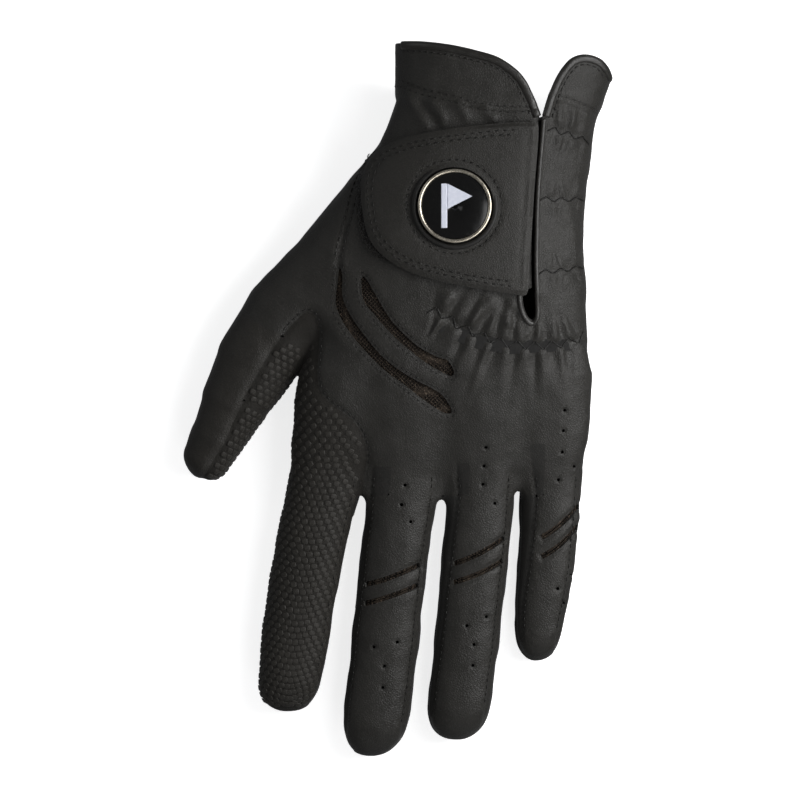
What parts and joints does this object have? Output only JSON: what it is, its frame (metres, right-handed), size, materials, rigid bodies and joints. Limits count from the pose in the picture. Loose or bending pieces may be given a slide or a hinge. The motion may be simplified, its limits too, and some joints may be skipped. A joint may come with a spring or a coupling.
{
  "type": "golf glove",
  "caption": "Left-hand golf glove with flex slots, a wrist closure tab that peels open and a ball marker that lifts out of its socket.",
  "frame": {"origin": "on the surface it lies on, under the centre of its outline", "axes": "+Y from the fingertips to the cuff, +X from the thumb side to the little-finger side, +Z from the palm to the back of the hand"},
  "size_m": [0.132, 0.2225, 0.0361],
  "materials": {
    "leather": "soft-grained synthetic leather",
    "grip": "raised grip texture",
    "mesh": "open stretch mesh",
    "binding": "folded glossy binding",
    "velcro": "hook and loop",
    "elastic": "woven elastic",
    "label": "blank woven label",
    "rubber": "moulded rubber",
    "metal": "satin plate",
    "enamel": "gloss",
    "emblem": "gloss"
  },
  "bodies": {
    "hand": {"back_panel": "leather", "thumb_side_panel": "leather", "grip_web_panel": "grip", "palm_panel": "leather", "thumb_palm_panel": "leather", "palm_cuff_inner": "leather", "palm_cuff_outer": "leather", "palm_crease": "leather", "hand_flex_mesh": "mesh", "cuff_lining": "elastic", "flap_lining": "elastic", "flap_elastic_1": "elastic", "flap_elastic_2": "elastic", "flap_elastic_3": "elastic", "heel_elastic": "elastic", "care_label": "label", "loop_patch": "velcro", "cuff_binding": "binding", "flap_binding": "binding", "palm_binding": "binding", "slit_binding": "binding"},
    "knuckles": {"knuckle_panel": "leather", "index_grip_base": "grip", "knuckle_palm_panel": "leather", "fourchette_index_middle": "leather", "fourchette_middle_ring": "leather", "fourchette_ring_little": "leather", "index_crease": "grip", "middle_crease": "leather", "ring_crease": "leather", "little_crease": "leather", "middle_flex_mesh": "mesh", "ring_flex_mesh": "mesh", "little_flex_mesh": "mesh"},
    "index_tip": {"index_back": "grip", "index_palm": "grip", "index_fourchette_ulnar": "leather"},
    "middle_tip": {"middle_back": "leather", "middle_palm": "leather", "middle_fourchette_ulnar": "leather", "middle_fourchette_radial": "leather"},
    "ring_tip": {"ring_back": "leather", "ring_palm": "leather", "ring_fourchette_ulnar": "leather", "ring_fourchette_radial": "leather"},
    "little_tip": {"little_back": "leather", "little_palm": "leather", "little_fourchette_radial": "leather"},
    "thumb_base": {"thumb_base_back": "leather", "thumb_base_grip": "grip"},
    "thumb_tip": {"thumb_tip_back": "leather", "thumb_tip_grip": "grip"},
    "tab": {"closure_tab": "leather", "tab_hook_patch": "velcro", "marker_seat": "rubber", "seat_base": "rubber", "seat_magnet": "metal"},
    "marker": {"marker_bezel": "metal", "marker_disc": "enamel", "marker_emblem": "emblem"}
  },
  "joints": [
    {"name": "knuckle_fold", "type": "hinge", "parent": "hand", "child": "knuckles", "pos_m": [0.0135, -0.007, 0.01], "axis": [1, 0, 0], "range_deg": [0, 50], "deforming": ["palm_crease"]},
    {"name": "index_bend", "type": "hinge", "parent": "knuckles", "child": "index_tip", "pos_m": [-0.02754, -0.05255, 0.0075], "axis": [0.9891, -0.1472, 0], "range_deg": [0, 75], "deforming": ["index_crease"]},
    {"name": "middle_bend", "type": "hinge", "parent": "knuckles", "child": "middle_tip", "pos_m": [-0.00171, -0.05774, 0.0075], "axis": [0.9943, -0.1067, 0], "range_deg": [0, 75], "deforming": ["middle_crease", "middle_flex_mesh"]},
    {"name": "ring_bend", "type": "hinge", "parent": "knuckles", "child": "ring_tip", "pos_m": [0.02341, -0.05014, 0.0075], "axis": [0.9958, -0.0912, 0], "range_deg": [0, 75], "deforming": ["ring_crease", "ring_flex_mesh"]},
    {"name": "little_bend", "type": "hinge", "parent": "knuckles", "child": "little_tip", "pos_m": [0.04627, -0.04122, 0.0075], "axis": [0.9971, -0.0761, 0], "range_deg": [0, 75], "deforming": ["little_crease", "little_flex_mesh"]},
    {"name": "thumb_root_bend", "type": "hinge", "parent": "hand", "child": "thumb_base", "pos_m": [-0.0458, 0.00959, 0.00839], "axis": [0.7048, -0.3524, 0.6157], "range_deg": [0, 25]},
    {"name": "thumb_bend", "type": "hinge", "parent": "thumb_base", "child": "thumb_tip", "pos_m": [-0.05475, -0.0083, 0.00839], "axis": [0.7048, -0.3524, 0.6157], "range_deg": [0, 50]},
    {"name": "tab_open", "type": "hinge", "parent": "hand", "child": "tab", "pos_m": [0.0408, 0.06, 0.03255], "axis": [0.0622, 0.9954, 0.0722], "range_deg": [0, 120]},
    {"name": "marker_lift", "type": "slide", "parent": "tab", "child": "marker", "axis": [0, 0, 1], "range_m": [0, 0.012]}
  ]
}
